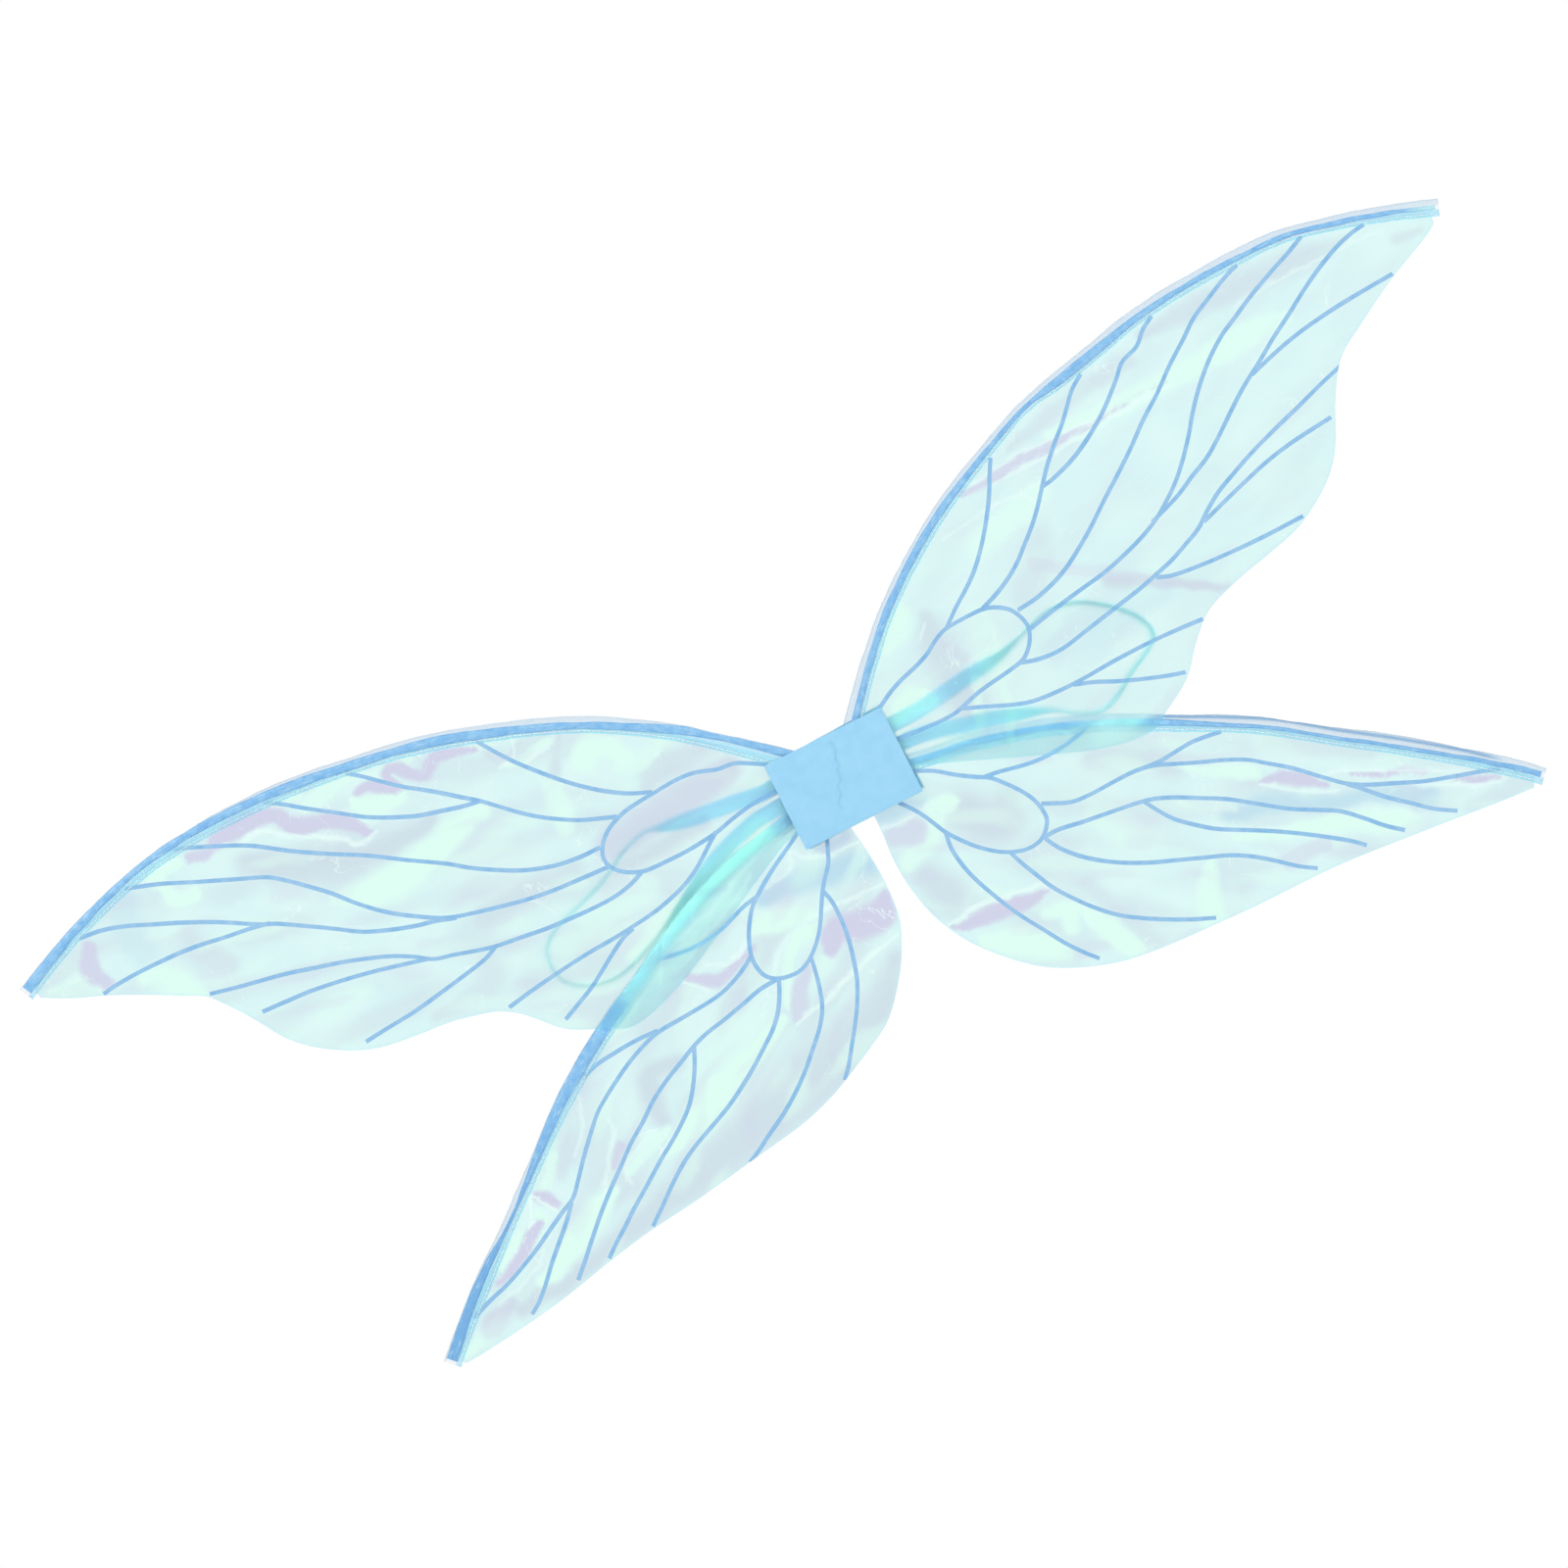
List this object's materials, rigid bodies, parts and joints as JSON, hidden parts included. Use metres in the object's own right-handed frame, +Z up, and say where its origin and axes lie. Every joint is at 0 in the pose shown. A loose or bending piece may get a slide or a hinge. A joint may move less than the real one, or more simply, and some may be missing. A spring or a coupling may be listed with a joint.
{
  "type": "fairy wings",
  "caption": "Dress-up fairy wings: sheer film wings with wired blue hems and printed veins on a felt back pad, with elastic shoulder loops.",
  "frame": {"origin": "middle of the back pad's face that rests on the wearer's back", "axes": "+Z up as worn, +Y out of the back pad towards the wearer, +X along the span to the right as seen from behind the wearer"},
  "size_m": [0.9943, 0.0222, 0.3783],
  "materials": {
    "felt": "light blue craft felt, matt",
    "hem": "blue folded and stitched hem under sheer film",
    "film": "sheer iridescent organza film with printed veins",
    "steel": "plain bent wire",
    "card": "stiff white card",
    "elastic": "flat ribbed elastic"
  },
  "bodies": {
    "pad": {"front_pad": "felt", "back_pad": "felt", "core_card": "card", "wire_shank_upper_right": "steel", "film_root_upper_right": "film", "hem_root_upper_right": "hem", "wire_shank_lower_right": "steel", "film_root_lower_right": "film", "wire_shank_upper_left": "steel", "film_root_upper_left": "film", "hem_root_upper_left": "hem", "wire_shank_lower_left": "steel", "film_root_lower_left": "film", "strap_end_upper_right": "elastic", "strap_end_lower_right": "elastic", "strap_end_upper_left": "elastic", "strap_end_lower_left": "elastic"},
    "wing_upper_right": {"film_upper_right": "film", "hem_upper_right": "hem", "tip_tab_upper_right": "hem", "wire_upper_right": "steel"},
    "wing_lower_right": {"film_lower_right": "film", "hem_lower_right": "hem", "tip_tab_lower_right": "hem", "wire_lower_right": "steel"},
    "wing_upper_left": {"film_upper_left": "film", "hem_upper_left": "hem", "tip_tab_upper_left": "hem", "wire_upper_left": "steel"},
    "wing_lower_left": {"film_lower_left": "film", "hem_lower_left": "hem", "tip_tab_lower_left": "hem", "wire_lower_left": "steel"},
    "shoulder_loop_right": {"strap_right": "elastic"},
    "shoulder_loop_left": {"strap_left": "elastic"}
  },
  "joints": [
    {"name": "fold_upper_right", "type": "hinge", "parent": "pad", "child": "wing_upper_right", "pos_m": [0.043, -0.009, 0], "axis": [0, 0, -1], "range_deg": [0, 80]},
    {"name": "fold_lower_right", "type": "hinge", "parent": "pad", "child": "wing_lower_right", "pos_m": [0.043, -0.009, 0], "axis": [0, 0, -1], "range_deg": [0, 80]},
    {"name": "fold_upper_left", "type": "hinge", "parent": "pad", "child": "wing_upper_left", "pos_m": [-0.043, -0.009, 0], "axis": [0, 0, 1], "range_deg": [0, 80]},
    {"name": "fold_lower_left", "type": "hinge", "parent": "pad", "child": "wing_lower_left", "pos_m": [-0.043, -0.009, 0], "axis": [0, 0, 1], "range_deg": [0, 80]},
    {"name": "swing_right", "type": "hinge", "parent": "pad", "child": "shoulder_loop_right", "pos_m": [0.043, -0.0019, 0], "axis": [0, 0, 1], "range_deg": [0, 90]},
    {"name": "swing_left", "type": "hinge", "parent": "pad", "child": "shoulder_loop_left", "pos_m": [-0.043, -0.0019, 0], "axis": [0, 0, -1], "range_deg": [0, 90]}
  ],
  "couplings": [
    {"joint": "fold_lower_right", "follows": "fold_upper_right", "ratio": 1},
    {"joint": "fold_lower_left", "follows": "fold_upper_left", "ratio": 1}
  ]
}
